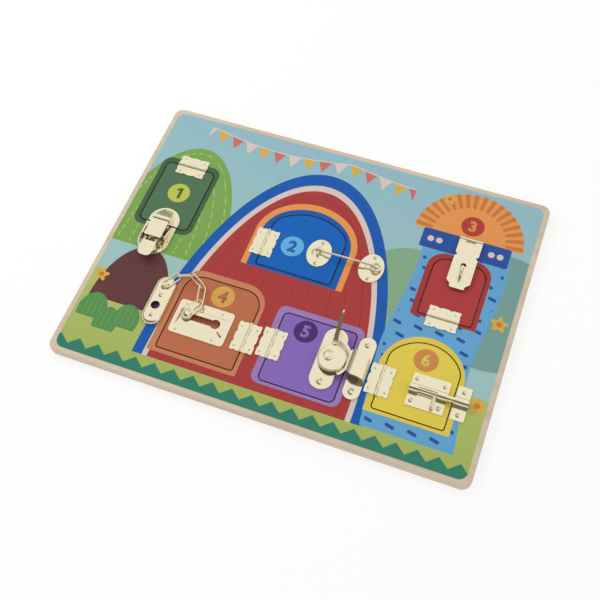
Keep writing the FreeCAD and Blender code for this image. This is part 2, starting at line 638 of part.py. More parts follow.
def cam_rivet():
    x, y = CAM_X, CAM_Y
    s = cyl(CAM_RIVET_R, 7.6, x, y, TOP)
    head = cyl(4.6, 1.2, x, y, TOP + 7.6).fuse(dome_cap(4.6, 0.7, x, y, TOP + 8.8))
    ring = cyl(3.5, 2, x, y, TOP + 8.6).cut(cyl(2.6, 2, x, y, TOP + 8.6))
    return s.fuse(head.cut(ring)).removeSplitter()


def cam_keeper():
    x, y, t = KEEPER_X, CAM_Y, PLATE_T["cam"]
    s = plate(x - 7.75, x + 7.75, y - 31.5, y + 31.5, 7.74, TOP, TOP + t)
    out = [(x + 7.4, 1.0), (x + 7.4, 6.6), (x + 6.2, 9.4), (x + 3.6, 11.3), (x, 12.2), (x - 5.0, 12.0),
           (x - 9.2, 10.8), (x - 11.6, 9.4)]
    inn = [(x - 11.4, 8.4), (x - 8.6, 9.2), (x - 4.0, 9.8), (x, 9.6), (x + 2.6, 8.2), (x + 4.4, 5.6), (x + 4.6, 1.0)]
    a, b = Part.BSplineCurve(), Part.BSplineCurve()
    a.interpolate([V(p, y - 14.5, TOP + q) for p, q in out])
    b.interpolate([V(p, y - 14.5, TOP + q) for p, q in inn])
    ends = [Part.makeLine(V(out[-1][0], y - 14.5, TOP + out[-1][1]), V(inn[0][0], y - 14.5, TOP + inn[0][1])),
            Part.makeLine(V(inn[-1][0], y - 14.5, TOP + 1.0), V(out[0][0], y - 14.5, TOP + 1.0))]
    arch = face_of([a.toShape(), ends[0], b.toShape(), ends[1]]).extrude(V(0, 29, 0))
    plan = [(9, -13.5), (9, 4.5), (5, 10.0), (-1, 13.0), (-7, 13.0), (-14, 9.5), (-14, -8.0), (-5, -12.5)]
    plan = [V(x + a, y + b, TOP) for a, b in plan + plan[:1]]
    trim = Part.Face(Part.makePolygon(plan)).extrude(V(0, 0, 20))
    s = s.fuse(arch.common(trim)).removeSplitter()
    return drill(s, [], all_of("cam", KEEPER_SCREWS))


# barrel bolt of door 6
def barrel(x0, x1, bore):
    z = TOP + BOLT_Z
    s = cyl(4.1, x1 - x0, x0, BOLT_Y, z, V(1, 0, 0))
    s = s.fuse(box(x0, x1, BOLT_Y - 4.1, BOLT_Y + 4.1, TOP + 0.5, z))
    s = s.cut(box(x0 - 1, x1 + 1, BOLT_Y - 5, BOLT_Y + 5, TOP - 3, TOP + 0.5))
    return s, [cyl(bore, x1 - x0 + 2, x0 - 1, BOLT_Y, z, V(1, 0, 0))]


def bolt_plate():
    s = plate(125.6, 159.8, BOLT_Y - 16.2, BOLT_Y + 16.2, 0.8, TOP, TOP + PLATE_T["bolt"])
    tube, holes = barrel(125.6, 159.8, BOLT_R + 0.05)
    s = s.fuse(tube).cut(holes)
    s = s.cut(box(133.6, 151.0, BOLT_Y - 6, BOLT_Y + 0.6, TOP + PLATE_T["bolt"], TOP + 12))
    return drill(s.removeSplitter(), [], all_of("bolt", BOLT_SCREWS))


def bolt():
    z = TOP + BOLT_Z
    s = cyl(BOLT_R, BOLT_X1 - BOLT_X0, BOLT_X0, BOLT_Y, z, V(1, 0, 0))
    s = s.makeFillet(1.2, [e for e in s.Edges if e.BoundBox.XLength < 1e-3])
    a, b = V(BOLT_HANDLE_X, BOLT_Y, z), V(BOLT_HANDLE_X, BOLT_Y - 12.4, z - 0.3)
    s = s.fuse(Part.makeCylinder(1.45, (b - a).Length, a, b - a))
    return s.fuse(Part.makeSphere(2.1, b)).removeSplitter()


def bolt_keeper():
    s = plate(166.2, 178.8, BOLT_Y - 16.4, BOLT_Y + 16.4, 0.8, TOP, TOP + PLATE_T["bolt"])
    tube, holes = barrel(166.2, 178.8, BOLT_R + 0.08)
    s = s.fuse(tube).cut(holes)
    return drill(s.removeSplitter(), [], all_of("bolt", BOLT_KEEPER_SCREWS))


def pieces():
    out = {"front_panel": front_panel(), "back_panel": back_panel()}
    for n in DOORS:
        out["door_%d" % n] = door(n)
        out["hinge_%d_board_leaf" % n] = hinge_leaf(n, -1)
        out["hinge_%d_door_leaf" % n] = hinge_leaf(n, 1)
        nails, screws = door_fasteners(n)
        out["door_%d_nails" % n] = Part.Compound([nail(*a) for a in nails])
        if screws:
            out["door_%d_screws" % n] = Part.Compound([screw(*a) for a in screws])
    nails, screws = board_fasteners()
    out["board_nails"] = Part.Compound([nail(*a) for a in nails])
    out["board_screws"] = Part.Compound([screw(*a) for a in screws])
    out["hinge_pins"] = hinge_pins()
    for make in (toggle_base, toggle_base_pin, toggle_lever, toggle_claw_pin, toggle_claw, toggle_catch,
                 hook_plate, hook_rod, eye_plate, hasp_leaf, hasp_pin, hasp_strap, hasp_staple,
                 chain_base, chain_knob, slot_plate, cam_base, cam_lever, cam_rivet, cam_keeper,
                 bolt_plate, bolt, bolt_keeper):
        out[make.__name__] = make()
    for k in range(5):
        out["chain_link_%d" % (k + 1)] = chain_link(k)
    return out


os.makedirs("parts", exist_ok=True)
for name, shape in pieces().items():
    shape.exportStep("parts/%s.step" % name)
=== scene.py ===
"""Wooden latch board: printed face, painted doors and polished brass latches."""
import json
import math

import bmesh
import bpy
from mathutils import Matrix, Vector

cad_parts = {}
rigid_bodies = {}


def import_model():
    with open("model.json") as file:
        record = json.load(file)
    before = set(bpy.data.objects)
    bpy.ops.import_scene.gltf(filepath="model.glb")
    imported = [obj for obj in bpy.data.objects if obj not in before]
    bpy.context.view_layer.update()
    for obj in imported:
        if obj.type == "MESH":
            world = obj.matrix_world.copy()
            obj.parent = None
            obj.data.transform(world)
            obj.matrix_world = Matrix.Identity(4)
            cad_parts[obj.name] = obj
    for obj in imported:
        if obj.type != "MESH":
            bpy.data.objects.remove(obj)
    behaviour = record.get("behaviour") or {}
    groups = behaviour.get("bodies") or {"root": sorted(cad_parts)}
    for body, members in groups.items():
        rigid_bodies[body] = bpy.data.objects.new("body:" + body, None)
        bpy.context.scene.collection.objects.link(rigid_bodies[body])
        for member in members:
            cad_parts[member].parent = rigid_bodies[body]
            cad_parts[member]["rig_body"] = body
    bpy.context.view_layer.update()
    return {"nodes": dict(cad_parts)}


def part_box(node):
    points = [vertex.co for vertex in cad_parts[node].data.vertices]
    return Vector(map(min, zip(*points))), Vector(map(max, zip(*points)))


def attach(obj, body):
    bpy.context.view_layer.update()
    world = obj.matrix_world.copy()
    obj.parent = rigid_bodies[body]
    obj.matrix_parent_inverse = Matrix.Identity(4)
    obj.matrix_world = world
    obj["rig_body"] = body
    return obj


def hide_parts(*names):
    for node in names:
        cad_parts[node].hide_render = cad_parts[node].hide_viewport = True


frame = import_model()

bl_info = {
    "name": "Latch board dressing",
    "version": (1, 0, 0),
    "blender": (4, 5, 0),
    "location": "3D View > Sidebar > Latch board",
    "description": "Finishes the packed latch board: print, paint, numerals and brass",
    "category": "Object",
}

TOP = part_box("front_panel")[1].z        # painted face, metres
DOORS = (1, 2, 3, 4, 5, 6)
PRINT_CORNER = 8.5                      # corner radius of the printed area, mm
INK_LIFT = 0.00002                      # numerals over the paint, metres
INK_THICKNESS = 0.00005
FIELD_R = 11.25                         # number fields, mm
# number fields: centre in mm, the body they move with
NUMBER_FIELDS = {
    1: (-154.2, 48.6, "door_1"), 2: (-24.0, 26.2, "door_2"), 3: (133.7, 103.6, "board"),
    4: (-65.9, -47.4, "door_4"), 5: (20.1, -56.4, "door_5"), 6: (131.9, -48.1, "door_6"),
}

# outline of a plain 1 with a flag, of height 1
NUMERAL_ONE = ((0.16, 0.0), (0.40, 0.0), (0.40, 1.0), (0.22, 1.0),
               (-0.06, 0.84), (-0.06, 0.64), (0.16, 0.76))


def srgb(code):
    """Linear RGBA of a colour written as six hex digits."""
    out = []
    for i in (0, 2, 4):
        c = int(code[i:i + 2], 16) / 255
        out.append(c / 12.92 if c <= 0.04045 else ((c + 0.055) / 1.055) ** 2.4)
    return (*out, 1.0)


class Wire:
    """A shader socket that takes part in Python sums."""

    def __init__(self, tree, socket):
        self.tree, self.socket = tree, socket

    def math(self, kind, *others, clamp=False):
        return Tree(self.tree).put("ShaderNodeMath", {"operation": kind, "use_clamp": clamp},
                                   [self, *others])[0]

    def __add__(self, other):
        return self.math("ADD", other)

    def __radd__(self, other):
        return self.math("ADD", other)

    def __sub__(self, other):
        return self.math("SUBTRACT", other)

    def __rsub__(self, other):
        return Tree(self.tree).put("ShaderNodeMath", {"operation": "SUBTRACT"}, [other, self])[0]

    def __mul__(self, other):
        return self.math("MULTIPLY", other)

    def __rmul__(self, other):
        return self.math("MULTIPLY", other)

    def __truediv__(self, other):
        return self.math("DIVIDE", other)

    def __rtruediv__(self, other):
        return Tree(self.tree).put("ShaderNodeMath", {"operation": "DIVIDE"}, [other, self])[0]

    def __neg__(self):
        return self.math("MULTIPLY", -1.0)

    def __abs__(self):
        return self.math("ABSOLUTE")

    def low(self, other):
        return self.math("MINIMUM", other)

    def high(self, other):
        return self.math("MAXIMUM", other)

    def root(self):
        return self.math("SQRT")

    def wave(self):
        return self.math("SINE")

    def fold(self, size):
        return self.math("PINGPONG", size)

    def part(self):
        return self.math("FRACT")

    def whole(self):
        return self.math("FLOOR")

    def turn_from(self, across):
        """Angle of the point (across, self)."""
        return self.math("ARCTAN2", across)

    def unit(self):
        return self.math("ADD", 0.0, clamp=True)


class Tree:
    """Adds nodes to one material or world tree."""

    def __init__(self, tree):
        self.tree = tree

    def put(self, kind, settings=None, inputs=()):
        """One node: its type, its settings, then values or links for its sockets."""
        n = self.tree.nodes.new(kind)
        for key, value in (settings or {}).items():
            setattr(n, key, value)
        pairs = inputs.items() if isinstance(inputs, dict) else enumerate(inputs)
        for key, value in pairs:
            if isinstance(value, Wire):
                self.tree.links.new(value.socket, n.inputs[key])
            else:
                n.inputs[key].default_value = value
        return [Wire(self.tree, s) for s in n.outputs]

    def mix(self, factor, a, b):
        """Colour a where factor is 0, b where it is 1."""
        return self.put("ShaderNodeMix", {"data_type": "RGBA"}, {0: factor, 6: a, 7: b})[2]

    def noise(self, where, scale, detail=2.0, rough=0.5):
        return self.put("ShaderNodeTexNoise", {}, {"Vector": where, "Scale": scale, "Detail": detail,
                                                   "Roughness": rough})[0]

    def stretch(self, where, scale):
        return self.put("ShaderNodeMapping", {}, {"Vector": where, "Scale": scale})[0]


def new_material(name):
    """Empty material, its tree and its Object coordinates."""
    m = bpy.data.materials.new(name)
    m.use_nodes = True
    m.node_tree.nodes.clear()
    t = Tree(m.node_tree)
    where = t.put("ShaderNodeTexCoord")[3]
    return m, t, where


def close_material(t, values):
    """Surface shader with the given sockets, joined to the output."""
    s = t.put("ShaderNodeBsdfPrincipled", {}, values)[0]
    t.put("ShaderNodeOutputMaterial", {}, [s])


def millimetres(t, where):
    """The three coordinates of a point, in mm."""
    x, y, z = t.put("ShaderNodeSeparateXYZ", {}, [where])
    return x * 1000.0, y * 1000.0, z * 1000.0


# flat shapes on the printed face: distance in mm, negative inside
def disc(x, y, cx, cy, r):
    """Distance to a circle."""
    a, b = x - cx, y - cy
    return (a * a + b * b).root() - r


def oval(x, y, cx, cy, a, b):
    """Rough distance to an ellipse, true near its edge."""
    u, v = (x - cx) / a, (y - cy) / b
    k = (u * u + v * v).root()
    g = ((u / a) * (u / a) + (v / b) * (v / b)).root().high(1e-4)
    return (k - 1.0) * k / g


def slab(x, y, x0, x1, y0, y1, r):
    """Rectangle with rounded corners."""
    a = (abs(x - (x0 + x1) / 2) - ((x1 - x0) / 2 - r))
    b = (abs(y - (y0 + y1) / 2) - ((y1 - y0) / 2 - r))
    p, q = a.high(0.0), b.high(0.0)
    return (p * p + q * q).root() + a.high(b).low(0.0) - r


def inside(d, soft=0.22):
    """1 inside the shape, 0 outside, with a thin soft edge."""
    return (0.5 - d / soft).unit()


def top_mask(z):
    """1 on the painted face, 0 on edges and walls."""
    return ((z - (TOP * 1000 - 0.5)) * 5.0).unit()


def grain(t, where):
    """Soft growth bands and long fibres of pale plywood."""
    bands = t.noise(t.stretch(where, (6.0, 60.0, 60.0)), 1.2, 3.0, 0.6)
    fibres = t.noise(t.stretch(where, (30.0, 900.0, 900.0)), 1.0, 2.0, 0.7)
    return bands, fibres


def wood_colour(t, where, pale, dark):
    """Pale wood with darker bands and fibres."""
    bands, fibres = grain(t, where)
    return t.mix((bands - 0.42) * 2.4 + (fibres - 0.5) * 0.5, pale, dark)


def layered_edge(t, z, colour, dark):
    """Thin darker veneer lines on an edge seen from the side."""
    line = abs((z / 1.5).part() - 0.5)
    return t.mix(inside(line - 0.06, 0.05) * 0.35, colour, dark)


def arch_field(x, y, x0, x1, y0, ys, a, b):
    """Straight sides up to ys under half an ellipse."""
    cx = (x0 + x1) / 2
    return slab(x, y, x0, x1, y0, ys + 1.0, 0.8).low(oval(x, y, cx, ys, a, b).high(ys - y))


def printed_face(t, x, y, look):
    """Generic countryside of plain shapes, painted from far to near."""
    c = {k: srgb_of(getattr(look, k)) for k in type(look).__annotations__}
    col = t.mix(((y + 20.0) / 180.0).unit(), c["sky_low"], c["sky"])
    # string of pennants across the sky
    sag = 137.0 - 9.0 * abs((x / 48.0).wave())
    u = ((x + 195.0) / 16.0).part() * 16.0 - 8.0
    drop = sag - y
    flag = (abs(u) - (7.0 - drop * 0.5)).high(-drop)
    which = (((x + 195.0) / 48.0).part() * 3.0).whole()
    reach = inside(abs(x + 42.0) - 112.0)
    flag_colour = t.mix(inside(1.5 - which), c["coral"], c["cream"])
    flag_colour = t.mix(inside(0.5 - which), c["gold"], flag_colour)
    col = t.mix(inside(flag) * reach, col, flag_colour)
    col = t.mix(inside(abs(drop) - 0.7) * reach, col, c["cream"])
    # far hills
    col = t.mix(inside(oval(x, y, 178.0, 20.0, 60.0, 62.0)), col, c["far_hill"])
    col = t.mix(inside(oval(x, y, 95.0, -10.0, 60.0, 72.0)), col, c["far_hill_2"])
    # meadow
    meadow = y + 62.0 - (x / 42.0).wave() * 7.0
    col = t.mix(inside(meadow), col, t.mix(((y + 140.0) / 70.0).unit(), c["grass"], c["grass_far"]))
    # round green hill behind door 1 with dashed contour lines
    hill = oval(x, y, -148.0, -30.0, 62.0, 138.0)
    ground = -22.0 - y
    col = t.mix(inside(hill.high(ground)), col, c["leaf"])
    ring = abs((hill / 13.0).fold(1.0) - 0.5) * 13.0 - 0.7
    dashes = inside(((x + y) / 9.0).part() - 0.62, 0.05)
    col = t.mix(inside(ring) * inside(hill.high(ground) + 3.0) * dashes, col, c["leaf_line"])
    # brown earth with dots
    earth = oval(x, y, -152.0, -86.0, 36.0, 66.0).high(-86.0 - y)
    col = t.mix(inside(earth), col, c["earth"])
    dots = ((x / 9.0).part() - 0.5) * 9.0
    dots = disc(dots, ((y / 11.0).part() - 0.5) * 11.0, 0.0, 0.0, 1.1)
    col = t.mix(inside(dots) * inside(earth + 2.0), col, c["earth_dot"])
    # grass tufts in the lower left
    for cx, cy, a in ((-178.0, -100.0, 14.0), (-160.0, -108.0, 12.0), (-143.0, -101.0, 13.0)):
        tuft = oval(x, y, cx, cy, a, a * 1.35).high(cy - 8.0 - y)
        col = t.mix(inside(tuft), col, c["bush"])
        vein = abs(((x - cx) / 5.0).part() - 0.5) * 5.0 - 0.5
        col = t.mix(inside(vein) * inside(tuft + 2.5) * 0.5, col, c["leaf"])
    # great round arch: blue band, cream band, red field with fine darker arcs
    base = -127.0 - y
    arch = oval(x, y, -13.5, -127.0, 110.0, 244.0).high(base)
    red = oval(x, y, -13.5, -127.0, 95.0, 223.0)
    col = t.mix(inside(arch), col, c["band"])
    col = t.mix(inside(oval(x, y, -13.5, -127.0, 100.0, 230.0).high(base)), col, c["cream"])
    col = t.mix(inside(red.high(base)), col, c["field"])
    fine = abs((red / 17.0).fold(1.0) - 0.5) * 17.0 - 0.5
    col = t.mix(inside(fine) * inside(red.high(base) + 3.0) * 0.6, col, c["field_line"])
    # broad stream on the right with short wave strokes
    bend = x - 133.0 - (y / 30.0).wave() * 4.0
    stream = (abs(bend) - 42.0).high(y - 92.0).high(-126.0 - y)
    col = t.mix(inside(stream), col, c["stream"])
    row = (y / 12.5).whole()
    v = (y / 12.5 - row - 0.5) * 12.5
    shift = (row * 0.37).part() * 20.0
    u = (((bend + 60.0 + shift) / 20.0).part() - 0.5) * 20.0
    stroke = slab(u, v + (u / 3.0).wave() * 0.8, -4.4, 4.4, -1.7, 1.7, 1.6)
    col = t.mix(inside(stroke) * inside(stream + 3.0), col, c["band_dark"])
    # half sun on the horizon above the stream
    sun = disc(x, y, 133.0, 88.0, 53.0).high(88.0 - y)
    ray = ((y - 88.0).turn_from(x - 133.0) * (18.0 / math.pi)).part()
    rays = t.mix(inside(abs(ray - 0.5) - 0.25, 0.03), c["orange"], c["orange_deep"])
    col = t.mix(inside(sun), col, rays)
    col = t.mix(inside(disc(x, y, 133.0, 88.0, 36.0).high(88.0 - y)), col, c["orange"])
    band = slab(x, y, 90.0, 176.0, 67.0, 89.0, 2.0)
    col = t.mix(inside(band), col, c["band_dark"])
    for k in (-34.0, -25.5, 25.5, 34.0):
        ball = disc(x, y, 133.0 + k, 78.0, 3.2)
        col = t.mix(inside(ball), col, c["cream"])
    # plain five-petal flowers
    for cx, cy, s in ((184.0, 8.0, 1.0), (-186.0, -62.0, 0.9), (186.0, -76.0, 1.0), (104.0, 128.0, 0.8)):
        a = (y - cy).turn_from(x - cx)
        petal = disc(x, y, cx, cy, 6.6 * s) - (a * 5.0).wave() * 1.9 * s
        col = t.mix(inside(petal), col, c["gold"])
        col = t.mix(inside(disc(x, y, cx, cy, 2.8 * s)), col, c["orange_deep"])
    # zigzag border along the lower edge
    zig = y + 139.0 - abs(((x + 3.0) / 19.0).part() - 0.5) * 16.0
    col = t.mix(inside(zig), col, c["hedge"])
    # coloured surrounds of the doors
    around_2 = arch_field(x, y, -59.2, 31.2, -6.5, 34.0, 45.2, 37.5)
    around_3 = slab(x, y, 103.7, 165.4, -6.6, 66.0, 17.0)
    around_3 = around_3.low(slab(x, y, 103.7, 165.4, -6.6, 40.0, 1.5))
    around_4 = slab(x, y, -112.0, -24.8, -120.0, -26.8, 22.0)
    around_4 = around_4.low(slab(x, y, -112.0, -24.8, -120.0, -70.0, 1.5))
    around_6 = arch_field(x, y, 92.6, 170.6, -111.4, -64.0, 39.0, 38.4)
    col = t.mix(inside(slab(x, y, -185.6, -123.2, 3.0, 88.2, 10.0)), col, c["around_1"])
    col = t.mix(inside(arch_field(x, y, -65.0, 37.2, -6.5, 34.0, 51.2, 44.5)), col, c["orange"])
    col = t.mix(inside(around_2), col, c["around_2"])
    col = t.mix(inside(around_3), col, c["around_3"])
    col = t.mix(inside(around_4), col, c["around_4"])
    col = t.mix(inside(slab(x, y, -11.6, 72.4, -118.6, -36.8, 8.0)), col, c["around_5"])
    col = t.mix(inside(around_6), col, c["around_6"])
    # field of numeral 3 stands on the board
    nx, ny, _ = NUMBER_FIELDS[3]
    return t.mix(inside(disc(x, y, nx, ny, FIELD_R)), col, c["field_3"])


def srgb_of(value):
    """RGBA of a colour setting."""
    return (*value, 1.0)


def colour(name, code, what):
    """A colour setting with its default."""
    return bpy.props.FloatVectorProperty(name=name, description=what, subtype="COLOR", size=3,
                                         min=0.0, max=1.0, default=srgb(code)[:3])


class LatchPrintLook(bpy.types.PropertyGroup):
    """Colours of the printed face."""
    sky: colour("Sky", "99C5D3", "Upper sky of the print")
    sky_low: colour("Low sky", "A9CFCB", "Sky near the horizon")
    cream: colour("Cream", "E6D3CA", "Cream bands, balls and pennants")
    gold: colour("Gold", "E3B84C", "Petals and pennants")
    coral: colour("Coral", "D9776B", "Every third pennant")
    orange: colour("Orange", "F3A056", "Half sun and the frame of door 2")
    orange_deep: colour("Deep orange", "D6813F", "Rays and flower hearts")
    far_hill: colour("Far hill", "7DA8A0", "Hill behind the stream, right")
    far_hill_2: colour("Nearer hill", "8DB58F", "Hill behind the stream, left")
    grass: colour("Grass", "AFC062", "Meadow in front")
    grass_far: colour("Far grass", "B9C872", "Meadow further back")
    leaf: colour("Leaf green", "82B057", "Round hill behind door 1")
    leaf_line: colour("Contour", "B4CC62", "Dashed lines on the round hill")
    bush: colour("Bush", "5D9A57", "Low bushes")
    earth: colour("Earth", "6A3D3E", "Brown mound")
    earth_dot: colour("Earth dot", "593033", "Dots on the mound")
    field: colour("Red field", "B43F3D", "Inside of the great arch")
    field_line: colour("Field line", "8F3238", "Fine arcs on the red field")
    band: colour("Blue band", "165FB8", "Outer band of the great arch")
    band_dark: colour("Dark blue", "2A55A6", "Wave strokes and the dark band")
    stream: colour("Stream", "6AAEDB", "Light blue stream")
    hedge: colour("Border", "34876F", "Zigzag border")
    around_1: colour("Around door 1", "486848", "Surround of door 1")
    around_2: colour("Around door 2", "1560B2", "Surround of door 2")
    around_3: colour("Around door 3", "AE3A3A", "Surround of door 3")
    around_4: colour("Around door 4", "D38A5E", "Surround of door 4")
    around_5: colour("Around door 5", "A585C4", "Surround of door 5")
    around_6: colour("Around door 6", "EDD352", "Surround of door 6")
    field_3: colour("Field of 3", "BE3F3C", "Round field of numeral 3")


class LatchDoorLook(bpy.types.PropertyGroup):
    """Paint of the six doors, their number fields and numerals."""
    door_1: colour("Door 1", "557A58", "Paint of door 1")
    door_2: colour("Door 2", "0D68C3", "Paint of door 2")
    door_3: colour("Door 3", "B93F40", "Paint of door 3")
    door_4: colour("Door 4", "C7744F", "Paint of door 4")
    door_5: colour("Door 5", "8F6FC3", "Paint of door 5")
    door_6: colour("Door 6", "F1D953", "Paint of door 6")
    field_1: colour("Field 1", "C7D055", "Number field of door 1")
    field_2: colour("Field 2", "6ABAEB", "Number field of door 2")
    field_4: colour("Field 4", "E3AF54", "Number field of door 4")
    field_5: colour("Field 5", "4F2D77", "Number field of door 5")
    field_6: colour("Field 6", "DA9153", "Number field of door 6")
    numeral_1: colour("Numeral 1", "4E6E2F", "Numeral 1")
    numeral_2: colour("Numeral 2", "2266B0", "Numeral 2")
    numeral_3: colour("Numeral 3", "EBA456", "Numeral 3")
    numeral_4: colour("Numeral 4", "C4744E", "Numeral 4")
    numeral_5: colour("Numeral 5", "9A7DC0", "Numeral 5")
    numeral_6: colour("Numeral 6", "EBD466", "Numeral 6")
    numeral_height: bpy.props.FloatProperty(name="Numeral height", description="Height of the numerals",
                                            default=0.0128, subtype="DISTANCE", unit="LENGTH")


class LatchWoodLook(bpy.types.PropertyGroup):
    """Bare wood of the rim, edges and back."""
    pale: colour("Pale wood", "E5D3BB", "Light part of the grain")
    dark: colour("Dark wood", "D2BA9F", "Dark part of the grain")
    burnt: colour("Burnt cut", "4A3323", "Walls of the cuts round the doors")
    rim: bpy.props.FloatProperty(name="Bare rim", description="Width of the unprinted rim",
                                 default=0.0052, subtype="DISTANCE", unit="LENGTH")


class LatchMetalLook(bpy.types.PropertyGroup):
    """Polished pale brass of hinges and latches."""
    brass: colour("Brass", "E6DBB4", "Colour of the plating")
    roughness: bpy.props.FloatProperty(name="Roughness", description="Roughness of the plating",
                                       default=0.17, min=0.0, max=1.0, subtype="FACTOR")
    # crevice sets how far the painted shade in the brass crevices reaches
    crevice: bpy.props.FloatProperty(name="Crevice depth", description="Reach of the darker crevices",
                                     default=0.0022, subtype="DISTANCE", unit="LENGTH")
    soft_edge: bpy.props.FloatProperty(name="Soft edge", description="Radius of the rounded edges",
                                       default=0.0004, subtype="DISTANCE", unit="LENGTH")


class LatchStageLook(bpy.types.PropertyGroup):
    """Camera and light."""
    lens: bpy.props.FloatProperty(name="Focal length", description="Lens of the camera",
                                  default=55.39, subtype="DISTANCE_CAMERA")
    eye: bpy.props.FloatVectorProperty(name="Camera place", description="Where the camera stands",
                                       size=3, default=(0.17779, -0.40886, 0.76073),
                                       subtype="TRANSLATION")
    aim: bpy.props.FloatVectorProperty(name="Aim", description="Point at the image centre",
                                       size=3, default=(0.0036, -0.02701, 0.009),
                                       subtype="TRANSLATION")
    roll: bpy.props.FloatProperty(name="Roll", description="Turn about the line of sight",
                                  default=math.radians(-4.785), subtype="ANGLE")
    sky_level: bpy.props.FloatProperty(name="Sky level", description="Even light from all round",
                                       default=0.69, min=0.0)
    key_place: bpy.props.FloatVectorProperty(name="Key place", description="Where the soft lamp stands",
                                             size=3, default=(-1.0, 0.45, 1.0),
                                             subtype="TRANSLATION")
    key_power: bpy.props.FloatProperty(name="Key lamp", description="Power of the soft lamp",
                                       default=4.4, min=0.0, subtype="POWER")


def paint_values(t, where, colour_in, gloss=0.42):
    """Satin paint or ink over fine wood grain."""
    bands, fibres = grain(t, where)
    cloud = t.noise(where, 22.0, 3.0)
    tone = 1.0 + (bands - 0.5) * 0.05 + (fibres - 0.5) * 0.07 + (cloud - 0.5) * 0.05
    shaded = t.put("ShaderNodeVectorMath", {"operation": "SCALE"}, {0: colour_in, 3: tone})[0]
    bump = t.put("ShaderNodeBump", {}, {"Strength": 0.10, "Distance": 0.0004, "Height": fibres})[0]
    return {"Base Color": shaded, "Roughness": gloss + (cloud - 0.5) * 0.12, "Normal": bump,
            "Specular IOR Level": 0.22}


def wooden_material(name, wood, paint=None, limit=None, burnt_walls=None):
    """Bare wood whose upward face is covered by paint(t, x, y) inside limit."""
    m, t, where = new_material(name)
    x, y, z = millimetres(t, where)
    pale, dark = srgb_of(wood.pale), srgb_of(wood.dark)
    col = layered_edge(t, z, wood_colour(t, where, pale, dark), dark)
    if burnt_walls:
        up = t.put("ShaderNodeSeparateXYZ", {}, [t.put("ShaderNodeTexCoord")[1]])[2]
        wall = inside(abs(up) - 0.5, 0.3) * inside(burnt_walls(x, y), 0.35)
        col = t.mix(wall * 0.85, col, srgb_of(wood.burnt))
    if paint:
        mask = top_mask(z)
        if limit:
            mask = mask * inside(limit(x, y), 0.35)
        col = t.mix(mask, col, paint(t, x, y))
    close_material(t, paint_values(t, where, col))
    return m


def set_material(obj, m):
    """Gives the whole object one material."""
    obj.data.materials.clear()
    obj.data.materials.append(m)
    for p in obj.data.polygons:
        p.material_index = 0


class LATCHBOARD_OT_panels(bpy.types.Operator):
    """Print on the front panel, plain wood on the back panel"""
    bl_idname = "latchboard.panels"
    bl_label = "Panels"

    def execute(self, context):
        s = context.scene
        rim = s.latch_wood.rim * 1000
        low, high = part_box("front_panel")

        def limit(x, y):
            return slab(x, y, low.x * 1000 + rim, high.x * 1000 - rim, low.y * 1000 + rim,
                        high.y * 1000 - rim, PRINT_CORNER)

        def paint(t, x, y):
            return printed_face(t, x, y, s.latch_print)

        set_material(frame["nodes"]["front_panel"],
                     wooden_material("printed_face", s.latch_wood, paint, limit, limit))
        set_material(frame["nodes"]["back_panel"], wooden_material("plain_back", s.latch_wood))
        return {"FINISHED"}


def everywhere(x, y):
    """A field that covers the whole piece."""
    return x * 0.0 - 1.0


class LATCHBOARD_OT_doors(bpy.types.Operator):
    """Satin paint and round number field on each door"""
    bl_idname = "latchboard.doors"
    bl_label = "Doors"

    def execute(self, context):
        look, wood = context.scene.latch_doors, context.scene.latch_wood
        for n in DOORS:

            def paint(t, x, y, n=n):
                body = srgb_of(getattr(look, "door_%d" % n))
                cx, cy, owner = NUMBER_FIELDS[n]
                if owner == "board":
                    return body
                field = srgb_of(getattr(look, "field_%d" % n))
                return t.mix(inside(disc(x, y, cx, cy, FIELD_R)), body, field)

            set_material(frame["nodes"]["door_%d" % n],
                         wooden_material("door_%d_paint" % n, wood, paint, None, everywhere))
        return {"FINISHED"}


def load_glyph(context, bm, sign):
    """Adds the flat outline of one sign of the built-in font to bm."""
    font = bpy.data.curves.new("numeral", "FONT")
    font.body = sign
    font.align_x = "CENTER"
    font.offset = 0.04
    font.resolution_u = 6
    text = bpy.data.objects.new("numeral_text", font)
    context.scene.collection.objects.link(text)
    context.view_layer.update()
    mesh = bpy.data.meshes.new_from_object(text.evaluated_get(context.evaluated_depsgraph_get()))
    bpy.data.objects.remove(text)
    bm.from_mesh(mesh)
    bpy.data.meshes.remove(mesh)


